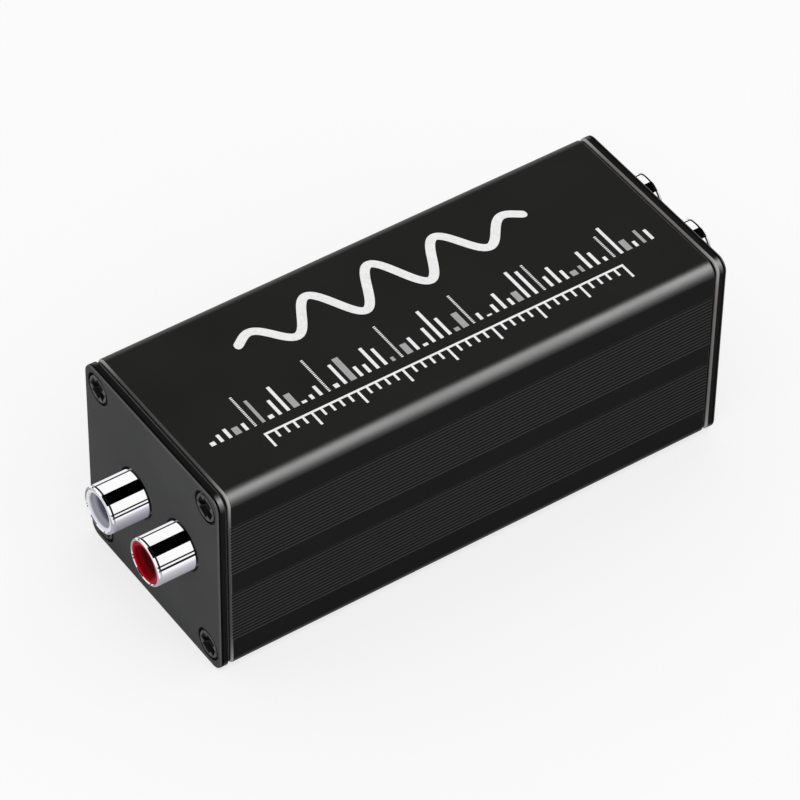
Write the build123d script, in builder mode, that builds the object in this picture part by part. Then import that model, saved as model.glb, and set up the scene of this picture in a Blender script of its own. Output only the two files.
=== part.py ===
from build123d import *
import os

os.makedirs("parts", exist_ok=True)

# Ground loop isolator for two audio channels. It lies along X with the input end at -X and
# the output end at +X. Up is +Z, and the origin is under the middle of the case.

# Case: one extruded tube with square section
case_length = 93.0
case_width = 38.0
case_height = 38.0
case_wall = 1.8
case_corner_radius = 2.2
case_end_chamfer = 0.4
inner_width = case_width - 2 * case_wall
inner_height = case_height - 2 * case_wall
mid_height = case_height / 2

# Fine V grooves: two bands on each long side
groove_depth = 0.28
groove_pitch = 0.7
grooves_in_band = 15
band_offset = 7.4
groove_square = groove_depth * 2**0.5

# End plates
plate_thickness = 2.0
plate_front_chamfer = 0.3
plate_back_chamfer = 0.2
end_face = case_length / 2 + plate_thickness

# Plate screws, and the open channels in the case that they cut their thread in
screw_inset = 3.6
screw_head_radius = 2.55
screw_head_height = 1.15
screw_shank_radius = 1.35
screw_length = 8.0
screw_turn = 25.0
recess_length = 3.7
recess_width = 1.1
recess_depth = 0.8
head_clearance = 0.45
head_sink = 0.1
shank_clearance = 0.25
counterbore_radius = screw_head_radius + head_clearance
counterbore_depth = screw_head_height + head_sink
channel_clearance = 0.05
channel_wall = 1.2
channel_mouth = 1.4
channel_bore_radius = screw_shank_radius + channel_clearance
channel_radius = channel_bore_radius + channel_wall
screw_spacing_y = case_width - 2 * screw_inset
screw_spacing_z = case_height - 2 * screw_inset

# Phono sockets: two at each end, each in a barrel with a thinner neck behind the plate's face
socket_spacing = 13.4
barrel_radius = 4.15
barrel_wall = 0.6
barrel_reach = 7.0
barrel_lip = 0.4
neck_step = 0.25
flange_radius = 5.0
flange_thickness = 0.8
flange_gap = 0.1
sleeve_length = 4.0
socket_hole_clearance = 0.35
neck_radius = barrel_radius - neck_step
flange_front = plate_thickness + flange_gap
flange_back = flange_front + flange_thickness
sleeve_end = flange_back + sleeve_length

# Insulator: a moulded liner in the barrel, cup-shaped at its mouth
insulator_clearance = 0.05
insulator_recess = 0.1
cup_wall = 0.5
cup_depth = 1.6
cup_corner = 0.9
contact_hole_radius = 1.7
contact_hole_length = 4.7
insulator_radius = barrel_radius - barrel_wall - insulator_clearance
cup_radius = insulator_radius - cup_wall
insulator_front = barrel_reach - insulator_recess
hole_front = insulator_front - cup_depth
hole_back = hole_front - contact_hole_length

# Centre contact: a split spring tube with a bent strip as its tail, down through the board
contact_grip_radius = 1.5
contact_wall = 0.45
contact_clearance = 0.1
contact_slit = 0.4
contact_slit_length = 5.0
contact_floor = 1.0
tail_width = 1.2
tail_thickness = 0.6
tail_length = 1.9
contact_radius = contact_grip_radius + contact_wall
contact_front = hole_back - contact_clearance

# Socket housing: one moulded block for the two sockets of an end
housing_side = 5.1
housing_top = 5.1
housing_depth = 10.0
housing_chamfer = 0.6
housing_clearance = 0.1
sleeve_bore_radius = neck_radius + housing_clearance
bore_floor = sleeve_end + housing_clearance
housing_back = flange_back + housing_depth
housing_width = socket_spacing + 2 * housing_side
tail_back = bore_floor + tail_length

# Ground terminal: a flat pin under each barrel, of the same strip as the contact's tail
terminal_setback = 2.6
terminal_place = flange_back + terminal_setback
slot_clearance = 0.1

# Circuit board in two rails on each side wall of the case
board_thickness = 1.6
board_end_clearance = 0.4
board_side_clearance = 0.2
board_face_clearance = 0.1
board_below_middle = 6.6
solder_reach = 1.2
rail_height = 1.2
rail_depth = 1.2
board_hole_clearance = 0.15
board_top = mid_height - board_below_middle
board_bottom = board_top - board_thickness
solder_end = board_bottom - solder_reach

# Place of each end's pair of sockets. The input pair is a little above the middle and off to the
# red side. The output pair stands against the white side's rail and under the upper screw channels.
input_shift = -2.0
input_rise = 1.4
output_side_gap = 0.2
output_top_gap = 0.5
input_height = mid_height + input_rise
output_shift = inner_width / 2 - rail_depth - output_side_gap - housing_width / 2
output_height = case_height - screw_inset - channel_radius - output_top_gap - housing_top

# Isolation transformers: E and I laminations of six by five limbs, as large as the case leaves room for
transformer_spacing = 32.0
core_side_room = 5.2
core_roof_room = 3.0
core_stack = 9.0
core_stand = 0.8
core_bottom = board_top + core_stand
limb_for_width = (inner_width - 2 * core_side_room) / 6
limb_for_height = (case_height - case_wall - core_roof_room - core_bottom) / 5
limb = min(limb_for_width, limb_for_height)
core_width = 6 * limb
window_bottom = core_bottom + limb
window_height = 3 * limb
window_top = window_bottom + window_height
core_top = window_top + limb

# Bobbin and its windings
bobbin_clearance = 0.15
bobbin_wall = 0.7
flange_wall = 0.8
layer_gap = 0.05
inner_tape_thickness = 0.15
outer_tape_thickness = 0.2
winding_clearance = 0.2
flange_rim = 0.6
rail_wall = 3.6
pin_width = 0.64
pin_edge = 1.85
pins_in_row = 3
pin_grip = 4.0
pin_clearance = 0.05
winding_corner = 0.5
corner_growth = 2 - 2**0.5
bobbin_floor = window_bottom + bobbin_clearance
bobbin_roof = window_top - bobbin_clearance
tube_x = core_stack + 2 * (bobbin_clearance + bobbin_wall)
tube_y = 2 * limb + 2 * (bobbin_clearance + bobbin_wall)
layers_total = limb - bobbin_clearance - bobbin_wall - winding_clearance
winding_thickness = (layers_total - inner_tape_thickness - outer_tape_thickness - 4 * layer_gap) / 2
flange_x = tube_x + 2 * (layers_total + flange_rim)
flange_y = 4 * limb - 2 * bobbin_clearance
pin_spacing = (flange_y - 2 * pin_edge) / (pins_in_row - 1)
pin_row_offset = flange_x / 2 - rail_wall / 2

# Clamp: a bent steel strap over the core, with a tab through the board on each side
clamp_thickness = 0.5
clamp_width = 7.0
clamp_gap = 0.05
clamp_tab_width = 2.4
clamp_inner = core_width / 2 + clamp_gap
clamp_top = core_top + clamp_gap

# Each end with its way along X and its pair's place across the case and above the ground
ends = (("input", -1, input_shift, input_height), ("output", 1, output_shift, output_height))
channels = (("white", 1), ("red", -1))


def end_plane(way):
    """Outer face of the case at one end: local x runs across, y up and z outwards."""
    return Plane(origin=(way * case_length / 2, 0, mid_height), x_dir=(0, way, 0), z_dir=(way, 0, 0))


def socket_plane(way, across, height):
    """Half plane of one socket: local x runs outwards from the plate's outer face and y up."""
    return Plane(origin=(way * end_face, across, height), x_dir=(way, 0, 0), z_dir=(0, -way, 0))


# Case body
with BuildPart() as case_body:
    case_end = Plane.YZ.offset(-case_length / 2)
    with BuildSketch(case_end):
        with Locations((0, mid_height)):
            RectangleRounded(case_width, case_height, case_corner_radius)
            Rectangle(inner_width, inner_height, mode=Mode.SUBTRACT)
    extrude(amount=case_length)
    end_faces = case_body.faces().filter_by(Axis.X)
    chamfer([edge for face in end_faces for edge in face.outer_wire().edges()], length=case_end_chamfer)
    # screw channels in the corners, and board rails on the side walls
    with BuildSketch(case_end):
        with Locations((0, mid_height)), GridLocations(screw_spacing_y, screw_spacing_z, 2, 2):
            Circle(channel_radius)
        rail_spacing = board_thickness + 2 * board_face_clearance + rail_height
        with Locations((0, board_top - board_thickness / 2)):
            with GridLocations(inner_width - rail_depth, rail_spacing, 2, 2):
                Rectangle(rail_depth, rail_height)
    extrude(amount=case_length)
    with BuildSketch(case_end):
        with Locations((0, mid_height)), GridLocations(screw_spacing_y, screw_spacing_z, 2, 2):
            Circle(channel_bore_radius)
        # each channel is open towards the middle of the case
        mouth_reach = channel_radius / 2
        for side in (-1, 1):
            for level in (-1, 1):
                mouth_y = side * (screw_spacing_y / 2 - mouth_reach / 2**0.5)
                mouth_z = mid_height + level * (screw_spacing_z / 2 - mouth_reach / 2**0.5)
                with Locations((mouth_y, mouth_z)):
                    Rectangle(channel_radius, channel_mouth, rotation=45 * side * level)
    extrude(amount=case_length, mode=Mode.SUBTRACT)
    with BuildSketch(case_end):
        with Locations((0, mid_height)), GridLocations(case_width, 2 * band_offset, 2, 2):
            with GridLocations(0, groove_pitch, 1, grooves_in_band):
                Rectangle(groove_square, groove_square, rotation=45)
    extrude(amount=case_length, mode=Mode.SUBTRACT)
case_body.part.label = "case_body"
export_step(case_body.part, "parts/case_body.step")

# One plate screw, head up, with its head seated at the origin
with BuildPart() as screw:
    with BuildSketch(Plane.XZ):
        with BuildLine():
            Polyline(
                (0, screw_head_height),
                (screw_head_radius, screw_head_height),
                (screw_head_radius, 0),
                (screw_shank_radius, 0),
                (screw_shank_radius, -screw_length),
                (0, -screw_length),
                close=True,
            )
        make_face()
    revolve(axis=Axis.Z)
    with BuildSketch(Plane.XY.offset(screw_head_height)):
        Rectangle(recess_length, recess_width, rotation=screw_turn)
        Rectangle(recess_length, recess_width, rotation=screw_turn + 90)
    extrude(amount=-recess_depth, mode=Mode.SUBTRACT)

for end, way, pair_shift, socket_height in ends:
    outer_plane = end_plane(way).offset(plate_thickness)

    # End plate
    with BuildPart() as end_plate:
        with BuildSketch(end_plane(way)):
            RectangleRounded(case_width, case_height, case_corner_radius)
        extrude(amount=plate_thickness)
        plate_faces = end_plate.faces().sort_by(Axis((0, 0, 0), (way, 0, 0)))
        chamfer(plate_faces[-1].edges(), length=plate_front_chamfer)
        plate_faces = end_plate.faces().sort_by(Axis((0, 0, 0), (way, 0, 0)))
        chamfer(plate_faces[0].edges(), length=plate_back_chamfer)
        with BuildSketch(end_plane(way)):
            with Locations((way * pair_shift, socket_height - mid_height)):
                with GridLocations(socket_spacing, 0, 2, 1):
                    Circle(barrel_radius + socket_hole_clearance)
        extrude(amount=plate_thickness, mode=Mode.SUBTRACT)
        with Locations(outer_plane):
            with GridLocations(screw_spacing_y, screw_spacing_z, 2, 2):
                CounterBoreHole(
                    radius=screw_shank_radius + shank_clearance,
                    counter_bore_radius=counterbore_radius,
                    counter_bore_depth=counterbore_depth,
                )
    end_plate.part.label = f"{end}_end_plate"
    export_step(end_plate.part, f"parts/{end}_end_plate.step")

    # Four plate screws
    with BuildPart() as plate_screws:
        with Locations(outer_plane.offset(-counterbore_depth)):
            with GridLocations(screw_spacing_y, screw_spacing_z, 2, 2):
                add(screw.part)
    plate_screws.part.label = f"{end}_plate_screws"
    export_step(plate_screws.part, f"parts/{end}_plate_screws.step")

    for channel, side in channels:
        socket_y = pair_shift + side * socket_spacing / 2
        half_plane = socket_plane(way, socket_y, socket_height)
        socket_axis = Axis(half_plane.origin, half_plane.x_dir)

        # Barrel: the chromed shell that a plug's outer sleeve grips
        with BuildPart() as barrel:
            with BuildSketch(half_plane):
                with BuildLine():
                    Polyline(
                        (barrel_reach, barrel_radius - barrel_wall),
                        (barrel_reach, barrel_radius),
                        (0, barrel_radius),
                        (0, neck_radius),
                        (-flange_front, neck_radius),
                        (-flange_front, flange_radius),
                        (-flange_back, flange_radius),
                        (-flange_back, neck_radius),
                        (-sleeve_end, neck_radius),
                        (-sleeve_end, barrel_radius - barrel_wall),
                        close=True,
                    )
                make_face()
            revolve(axis=socket_axis)
            mouth = barrel.faces().sort_by(socket_axis)[-1]
            chamfer(mouth.edges().sort_by(SortBy.LENGTH)[-1], length=barrel_lip)
        barrel.part.label = f"{end}_{channel}_barrel"
        export_step(barrel.part, f"parts/{end}_{channel}_barrel.step")

        # Insulator: coloured liner with a cup at its mouth and a hole for a plug's pin
        with BuildPart() as insulator:
            chamber_radius = contact_radius + contact_clearance
            with BuildSketch(half_plane):
                with BuildLine():
                    Polyline(
                        (insulator_front, cup_radius),
                        (insulator_front, insulator_radius),
                        (-bore_floor, insulator_radius),
                        (-bore_floor, chamber_radius),
                        (hole_back, chamber_radius),
                        (hole_back, contact_hole_radius),
                        (hole_front, contact_hole_radius),
                        (hole_front, cup_radius - cup_corner),
                        (hole_front + cup_corner, cup_radius),
                        close=True,
                    )
                make_face()
            revolve(axis=socket_axis)
        insulator.part.label = f"{end}_{channel}_insulator"
        export_step(insulator.part, f"parts/{end}_{channel}_insulator.step")

        # Centre contact: split tube and its tail
        with BuildPart() as contact:
            with BuildSketch(half_plane):
                with BuildLine():
                    Polyline(
                        (contact_front, contact_grip_radius),
                        (contact_front, contact_radius),
                        (-sleeve_end, contact_radius),
                        (-sleeve_end, 0),
                        (contact_floor - sleeve_end, 0),
                        (contact_floor - sleeve_end, contact_grip_radius),
                        close=True,
                    )
                make_face()
            revolve(axis=socket_axis)
            slit_start = contact_front - contact_slit_length
            with BuildSketch(half_plane):
                with Locations((slit_start, 0)):
                    Rectangle(contact_slit_length, contact_slit, align=(Align.MIN, Align.CENTER))
            extrude(amount=2 * contact_radius, both=True, mode=Mode.SUBTRACT)
            with BuildSketch(half_plane):
                with BuildLine():
                    Polyline(
                        (-sleeve_end, tail_thickness / 2),
                        (-tail_back - tail_thickness, tail_thickness / 2),
                        (-tail_back - tail_thickness, solder_end - socket_height),
                        (-tail_back, solder_end - socket_height),
                        (-tail_back, -tail_thickness / 2),
                        (-sleeve_end, -tail_thickness / 2),
                        close=True,
                    )
                make_face()
            extrude(amount=tail_width / 2, both=True)
        contact.part.label = f"{end}_{channel}_contact"
        export_step(contact.part, f"parts/{end}_{channel}_contact.step")

        # Ground terminal: flat pin that touches the barrel's sleeve from below
        with BuildPart() as terminal:
            terminal_x = way * (end_face - terminal_place)
            with BuildSketch(Plane.XY.offset(solder_end)):
                with Locations((terminal_x, socket_y)):
                    Rectangle(tail_thickness, tail_width)
            extrude(amount=socket_height - sleeve_bore_radius - solder_end)
        terminal.part.label = f"{end}_{channel}_ground_terminal"
        export_step(terminal.part, f"parts/{end}_{channel}_ground_terminal.step")

    # Socket housing
    with BuildPart() as housing:
        housing_x = way * (end_face - flange_back - housing_depth / 2)
        with BuildSketch(Plane.XY.offset(board_top)):
            with Locations((housing_x, pair_shift)):
                Rectangle(housing_depth, housing_width)
        extrude(amount=socket_height + housing_top - board_top)
        chamfer(housing.faces().sort_by(Axis.Z)[-1].edges(), length=housing_chamfer)
        for channel, side in channels:
            socket_y = pair_shift + side * socket_spacing / 2
            bore_start = (way * (end_face - flange_back), socket_y, socket_height)
            bore_plane = Plane(origin=bore_start, x_dir=(0, -way, 0), z_dir=(-way, 0, 0))
            with BuildSketch(bore_plane):
                Circle(sleeve_bore_radius)
            extrude(amount=bore_floor - flange_back, mode=Mode.SUBTRACT)
            # slots for the contact's tail, open at the back, and slot for the ground terminal
            slot_width = tail_width + 2 * slot_clearance
            with BuildSketch(bore_plane):
                Rectangle(slot_width, tail_thickness + 2 * slot_clearance)
            extrude(amount=tail_back - flange_back, mode=Mode.SUBTRACT)
            slot_front = tail_back - slot_clearance
            with BuildSketch(Plane.XY.offset(board_top)):
                with Locations((way * (end_face - (slot_front + housing_back) / 2), socket_y)):
                    Rectangle(housing_back - slot_front, slot_width)
            tail_top = socket_height + tail_thickness / 2 + slot_clearance
            extrude(amount=tail_top - board_top, mode=Mode.SUBTRACT)
            with BuildSketch(Plane.XY.offset(board_top)):
                with Locations((way * (end_face - terminal_place), socket_y)):
                    Rectangle(tail_thickness + 2 * slot_clearance, slot_width)
            extrude(amount=socket_height - neck_radius - board_top, mode=Mode.SUBTRACT)
    housing.part.label = f"{end}_socket_housing"
    export_step(housing.part, f"parts/{end}_socket_housing.step")

# Circuit board, punched for every pin that is soldered to it
with BuildPart() as circuit_board:
    with BuildSketch(Plane.XY.offset(board_bottom)):
        Rectangle(case_length - 2 * board_end_clearance, inner_width - 2 * board_side_clearance)
        tail_place = end_face - tail_back - tail_thickness / 2
        flat_slot = (tail_thickness + 2 * board_hole_clearance, tail_width + 2 * board_hole_clearance)
        for end, way, pair_shift, socket_height in ends:
            for place in (tail_place, end_face - terminal_place):
                with Locations((way * place, pair_shift)), GridLocations(0, socket_spacing, 1, 2):
                    Rectangle(*flat_slot, mode=Mode.SUBTRACT)
        with GridLocations(transformer_spacing, 0, 2, 1):
            with GridLocations(2 * pin_row_offset, pin_spacing, 2, pins_in_row):
                pin_hole = pin_width + 2 * board_hole_clearance
                Rectangle(pin_hole, pin_hole, mode=Mode.SUBTRACT)
            with GridLocations(0, 2 * clamp_inner + clamp_thickness, 1, 2):
                slot_x = clamp_tab_width + 2 * board_hole_clearance
                slot_y = clamp_thickness + 2 * board_hole_clearance
                Rectangle(slot_x, slot_y, mode=Mode.SUBTRACT)
    extrude(amount=board_thickness)
circuit_board.part.label = "circuit_board"
export_step(circuit_board.part, "parts/circuit_board.step")

# Layers round the bobbin, from the inside out
winding_layers = (
    ("primary_winding", winding_thickness),
    ("inner_tape", inner_tape_thickness),
    ("secondary_winding", winding_thickness),
    ("outer_tape", outer_tape_thickness),
)

for channel, side in channels:
    centre_x = -side * transformer_spacing / 2
    stack_plane = Plane.YZ.offset(centre_x - core_stack / 2)

    # E stack: three limbs that stand on the I stack
    with BuildPart() as core_e:
        with BuildSketch(stack_plane):
            with Locations((0, window_bottom)):
                Rectangle(core_width, 4 * limb, align=(Align.CENTER, Align.MIN))
                with GridLocations(3 * limb, 0, 2, 1):
                    Rectangle(limb, window_height, align=(Align.CENTER, Align.MIN), mode=Mode.SUBTRACT)
        extrude(amount=core_stack)
    core_e.part.label = f"{channel}_core_e"
    export_step(core_e.part, f"parts/{channel}_core_e.step")

    with BuildPart() as core_i:
        with BuildSketch(stack_plane):
            with Locations((0, core_bottom)):
                Rectangle(core_width, limb, align=(Align.CENTER, Align.MIN))
        extrude(amount=core_stack)
    core_i.part.label = f"{channel}_core_i"
    export_step(core_i.part, f"parts/{channel}_core_i.step")

    # Bobbin: tube between two flanges, with two pin rails that stand on the board
    with BuildPart() as bobbin:
        for level in (bobbin_floor, bobbin_roof - flange_wall):
            with BuildSketch(Plane.XY.offset(level)):
                with Locations((centre_x, 0)):
                    Rectangle(flange_x, flange_y)
            extrude(amount=flange_wall)
        with BuildSketch(Plane.XY.offset(bobbin_floor)) as tube:
            with Locations((centre_x, 0)):
                Rectangle(tube_x, tube_y)
            chamfer(tube.vertices(), length=winding_corner)
        extrude(amount=bobbin_roof - bobbin_floor)
        with BuildSketch(Plane.XY.offset(board_top)):
            with Locations((centre_x, 0)), GridLocations(2 * pin_row_offset, 0, 2, 1):
                Rectangle(rail_wall, flange_y)
        extrude(amount=bobbin_floor - board_top)
        with BuildSketch(Plane.XY.offset(bobbin_floor)):
            with Locations((centre_x, 0)):
                Rectangle(core_stack + 2 * bobbin_clearance, 2 * limb + 2 * bobbin_clearance)
        extrude(amount=bobbin_roof - bobbin_floor, mode=Mode.SUBTRACT)
        with BuildSketch(Plane.XY.offset(board_top)):
            with Locations((centre_x, 0)), GridLocations(2 * pin_row_offset, pin_spacing, 2, pins_in_row):
                Rectangle(pin_width + 2 * pin_clearance, pin_width + 2 * pin_clearance)
        extrude(amount=pin_grip + pin_clearance, mode=Mode.SUBTRACT)
    bobbin.part.label = f"{channel}_bobbin"
    export_step(bobbin.part, f"parts/{channel}_bobbin.step")

    # Windings and tape, each layer outside the one before, with its corners cut parallel to the tube's
    inner = layer_gap
    layer_floor = bobbin_floor + flange_wall + layer_gap
    layer_roof = bobbin_roof - flange_wall - layer_gap
    for layer_name, thickness in winding_layers:
        outer = inner + thickness
        with BuildPart() as layer:
            for reach, mode in ((outer, Mode.ADD), (inner, Mode.SUBTRACT)):
                with BuildSketch(Plane.XY.offset(layer_floor)) as turn:
                    with Locations((centre_x, 0)):
                        Rectangle(tube_x + 2 * reach, tube_y + 2 * reach)
                    chamfer(turn.vertices(), length=winding_corner + corner_growth * reach)
                extrude(amount=layer_roof - layer_floor, mode=mode)
        layer.part.label = f"{channel}_{layer_name}"
        export_step(layer.part, f"parts/{channel}_{layer_name}.step")
        inner = outer + layer_gap

    # Six pins in the bobbin's rails
    with BuildPart() as pins:
        with BuildSketch(Plane.XY.offset(solder_end)):
            with Locations((centre_x, 0)), GridLocations(2 * pin_row_offset, pin_spacing, 2, pins_in_row):
                Rectangle(pin_width, pin_width)
        extrude(amount=board_top + pin_grip - solder_end)
    pins.part.label = f"{channel}_transformer_pins"
    export_step(pins.part, f"parts/{channel}_transformer_pins.step")

    # Clamp: strap over the core with a narrower tab on each leg
    with BuildPart() as clamp:
        with BuildSketch(Plane.YZ.offset(centre_x - clamp_width / 2)):
            with Locations((0, board_top)):
                clamp_outer = clamp_inner + clamp_thickness
                strap_height = clamp_top + clamp_thickness - board_top
                Rectangle(2 * clamp_outer, strap_height, align=(Align.CENTER, Align.MIN))
                opening_height = clamp_top - board_top
                Rectangle(
                    2 * clamp_inner, opening_height, align=(Align.CENTER, Align.MIN), mode=Mode.SUBTRACT
                )
        extrude(amount=clamp_width)
        with BuildSketch(Plane.XY.offset(solder_end)):
            with Locations((centre_x, 0)), GridLocations(0, 2 * clamp_inner + clamp_thickness, 1, 2):
                Rectangle(clamp_tab_width, clamp_thickness)
        extrude(amount=board_top - solder_end)
    clamp.part.label = f"{channel}_clamp"
    export_step(clamp.part, f"parts/{channel}_clamp.step")
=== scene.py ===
import math

import bmesh
import bpy
import numpy as np
from mathutils import Matrix, Vector
from mathutils.geometry import tessellate_polygon


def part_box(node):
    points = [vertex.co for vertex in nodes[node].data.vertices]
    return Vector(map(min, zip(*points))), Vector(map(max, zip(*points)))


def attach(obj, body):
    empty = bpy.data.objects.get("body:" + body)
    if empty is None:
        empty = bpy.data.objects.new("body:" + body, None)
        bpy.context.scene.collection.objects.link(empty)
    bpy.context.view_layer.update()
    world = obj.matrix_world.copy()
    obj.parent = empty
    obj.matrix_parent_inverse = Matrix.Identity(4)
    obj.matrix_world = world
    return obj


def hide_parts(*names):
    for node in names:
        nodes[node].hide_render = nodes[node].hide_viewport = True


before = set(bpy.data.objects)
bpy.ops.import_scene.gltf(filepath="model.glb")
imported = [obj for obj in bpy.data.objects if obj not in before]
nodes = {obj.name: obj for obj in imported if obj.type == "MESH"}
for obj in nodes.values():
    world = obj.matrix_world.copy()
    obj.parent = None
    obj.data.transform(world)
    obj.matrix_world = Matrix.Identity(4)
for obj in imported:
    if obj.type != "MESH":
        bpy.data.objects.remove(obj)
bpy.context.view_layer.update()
print("frame loaded:", len(nodes), "nodes")

mm = 0.001
fullTurn = 2 * math.pi
ends = {"input": -1, "output": 1}
channels = ("white", "red")
caseLow, caseHigh = (np.array(corner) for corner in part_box("case_body"))
caseLength, caseWidth, caseHeight = (caseHigh - caseLow) / mm
midHeight = caseHeight / 2
creaseAngle = 32  # degrees, past which an edge is drawn hard
satinPieces, socketPieces = [], []  # bright metal mirrors the studio alone, and not these pieces


# Surfaces. A surface is a grid of points, rows by columns, and its columns close into a loop.

def gridQuads(rows, columns, start=0, closedRows=False):
    # four corners of each cell: this row and the next, this column and the next
    lastRow = rows if closedRows else rows - 1
    i, j = np.meshgrid(np.arange(lastRow), np.arange(columns), indexing="ij")
    nextRow, nextColumn = (i + 1) % rows, (j + 1) % columns
    here, below = i * columns, nextRow * columns
    corners = (here + j, here + nextColumn, below + nextColumn, below + j)
    return (np.stack(corners, axis=-1).reshape(-1, 4) + start).tolist()


def fillBetween(loops, starts):
    # flat fill inside the first loop and outside the others, as triangles of mesh indices
    corners = tessellate_polygon([[Vector((y, z, 0)) for y, z in loop] for loop in loops])
    index = np.concatenate([np.arange(len(loop)) + start for loop, start in zip(loops, starts)])
    return index[np.array(corners)].tolist()


def makePiece(name, points, faces):
    # mesh in metres from points in millimetres, its faces outward and its edges hard past the crease angle
    mesh = bpy.data.meshes.new(name)
    mesh.from_pydata((np.asarray(points) * mm).tolist(), [], faces)
    work = bmesh.new()
    work.from_mesh(mesh)
    bmesh.ops.recalc_face_normals(work, faces=work.faces)
    work.to_mesh(mesh)
    work.free()
    mesh.shade_smooth()
    mesh.set_sharp_from_angle(angle=math.radians(creaseAngle))
    piece = bpy.data.objects.new(name, mesh)
    bpy.context.scene.collection.objects.link(piece)
    weigh = piece.modifiers.new("flatFacesStayFlat", "WEIGHTED_NORMAL")
    weigh.keep_sharp = True
    weigh.weight = 100
    return piece


def placePiece(piece, material, slotName, *replaced):
    piece.data.materials.append(material)
    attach(piece, "root")
    if replaced:
        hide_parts(*replaced)


def roundedCorners(points, radii, steps=8):
    # closed outline with arcs at its corners: each arc starts and ends one tangent length from the corner
    points = np.asarray(points, float)
    outline = []
    for i, (corner, radius) in enumerate(zip(points, radii)):
        if radius <= 0:
            outline.append(corner[None])
            continue
        before = points[i - 1] - corner
        after = points[(i + 1) % len(points)] - corner
        before, after = before / np.linalg.norm(before), after / np.linalg.norm(after)
        half = math.acos(np.clip(before @ after, -1, 1)) / 2
        middle = (before + after) / np.linalg.norm(before + after)
        centre = corner + middle * radius / math.sin(half)
        tangent = radius / math.tan(half)
        first, last = corner + before * tangent - centre, corner + after * tangent - centre
        sweep = math.pi - 2 * half
        turn = np.linspace(0, sweep, steps + 1)[:, None]
        arc = (first * np.sin(sweep - turn) + last * np.sin(turn)) / math.sin(sweep)
        outline.append(centre + arc)
    return np.concatenate(outline)


def roundedRectangle(width, height, radius, steps):
    # counterclockwise outline and its outward normals: each corner's arc is centre plus radius times normal
    angles = np.linspace(0, math.pi / 2, steps + 1)
    quarter = np.stack((np.cos(angles), np.sin(angles)), axis=1)
    quarterTurns = np.arange(4) * math.pi / 2
    turns = [np.array(((math.cos(a), -math.sin(a)), (math.sin(a), math.cos(a)))) for a in quarterTurns]
    normals = np.concatenate([quarter @ turn.T for turn in turns])
    signs = np.repeat(np.array(((1, 1), (-1, 1), (-1, -1), (1, -1))), steps + 1, axis=0)
    centres = signs * (np.array((width, height)) / 2 - radius)
    return centres + radius * normals, normals


def circle(radius, count, centre):
    # points evenly round the centre, and their outward normals: cosine and sine of each angle
    angles = np.arange(count) * fullTurn / count
    normals = np.stack((np.cos(angles), np.sin(angles)), axis=1)
    return normals * radius + np.asarray(centre), normals


def turned(profile, centre, way, columns):
    # surface of revolution about a line along X: each profile point (reach, radius) goes round its circle
    angles = np.arange(columns) * fullTurn / columns
    reach, radius = np.asarray(profile).T
    x = centre[0] + way * np.repeat(reach[:, None], columns, axis=1)
    y = centre[1] + radius[:, None] * np.cos(angles)
    z = centre[2] + radius[:, None] * np.sin(angles)
    return np.stack((x, y, z), axis=-1).reshape(-1, 3), gridQuads(len(profile), columns, closedRows=True)


# Materials

def newMaterial(name, color, metallic, roughness, specular=0.5):
    material = bpy.data.materials.new(name)
    material.use_nodes = True
    tree = material.node_tree
    shader = tree.nodes["Principled BSDF"]
    shader.inputs["Base Color"].default_value = (*color, 1)
    shader.inputs["Metallic"].default_value = metallic
    shader.inputs["Roughness"].default_value = roughness
    shader.inputs["Specular IOR Level"].default_value = specular
    return material, tree, shader


def objectPoint(tree, scale=(1, 1, 1)):
    point = tree.nodes.new("ShaderNodeTexCoord").outputs["Object"]
    if scale == (1, 1, 1):
        return point
    mapping = tree.nodes.new("ShaderNodeMapping")
    mapping.inputs["Scale"].default_value = scale
    tree.links.new(point, mapping.inputs["Vector"])
    return mapping.outputs["Vector"]


def noise(tree, scale, detail, stretch=(1, 1, 1)):
    texture = tree.nodes.new("ShaderNodeTexNoise")
    texture.inputs["Scale"].default_value = scale
    texture.inputs["Detail"].default_value = detail
    tree.links.new(objectPoint(tree, stretch), texture.inputs["Vector"])
    return texture.outputs["Fac"]


def remap(tree, value, low, high, fromLow=0.0, fromHigh=1.0, smooth=False):
    step = tree.nodes.new("ShaderNodeMapRange")
    step.interpolation_type = "SMOOTHSTEP" if smooth else "LINEAR"
    for name, number in (("From Min", fromLow), ("From Max", fromHigh), ("To Min", low), ("To Max", high)):
        step.inputs[name].default_value = number
    tree.links.new(value, step.inputs["Value"])
    return step.outputs["Result"]


def math2(tree, operation, first, second=None):
    step = tree.nodes.new("ShaderNodeMath")
    step.operation = operation
    for socket, value in zip(step.inputs, (first, second)):
        if value is None:
            continue
        if isinstance(value, (int, float)):
            socket.default_value = value
        else:
            tree.links.new(value, socket)
    return step.outputs["Value"]


def mixColor(tree, factor, first, second):
    mix = tree.nodes.new("ShaderNodeMix")
    mix.data_type = "RGBA"
    tree.links.new(factor, mix.inputs["Factor"])
    for socket, value in ((mix.inputs["A"], first), (mix.inputs["B"], second)):
        if isinstance(value, tuple):
            socket.default_value = (*value, 1)
        else:
            tree.links.new(value, socket)
    return mix.outputs["Result"]


def addBump(tree, shader, height, strength, distance):
    bump = tree.nodes.new("ShaderNodeBump")
    bump.inputs["Strength"].default_value = strength
    bump.inputs["Distance"].default_value = distance
    tree.links.new(height, bump.inputs["Height"])
    tree.links.new(bump.outputs["Normal"], shader.inputs["Normal"])


def objectAxes(tree):
    place = tree.nodes.new("ShaderNodeSeparateXYZ")
    tree.links.new(objectPoint(tree), place.inputs[0])
    return place.outputs


def objectPlace(tree):
    # a point's distance from the middle along X and Y, and from mid height along Z
    place = objectAxes(tree)
    rise = math2(tree, "SUBTRACT", place["Z"], midHeight * mm)
    return [math2(tree, "ABSOLUTE", value) for value in (place["X"], place["Y"], rise)]


def darker(color, share):
    return tuple(share * value for value in color)


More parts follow.
